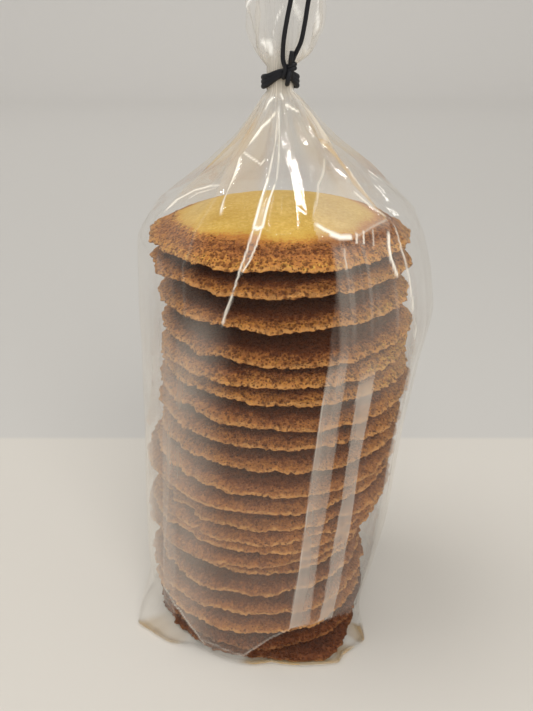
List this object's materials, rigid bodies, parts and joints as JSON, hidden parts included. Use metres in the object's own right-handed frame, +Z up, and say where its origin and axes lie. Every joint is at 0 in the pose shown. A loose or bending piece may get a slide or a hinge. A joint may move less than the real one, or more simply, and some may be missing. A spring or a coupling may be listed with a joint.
{
  "type": "bag of tuiles",
  "caption": "Clear gusseted bag holding an upright stack of thin round tuile biscuits, gathered at the neck and tied with a knotted black elastic loop.",
  "frame": {"origin": "on the surface that the bag stands on, under the centre of the bag's bounding box", "axes": "+Z up along the stack, -Y towards the side with the knot, +X to the right of that side"},
  "size_m": [0.0992, 0.0848, 0.239],
  "materials": {
    "film": "clear crinkled film over golden brown biscuits",
    "biscuit": "baked, porous, golden in the middle and brown at the rim",
    "elastic": "fine braided cord, satin"
  },
  "bodies": {
    "root": {"bag": "film", "tie": "elastic", "tie_loop": "elastic"}
  },
  "joints": []
}
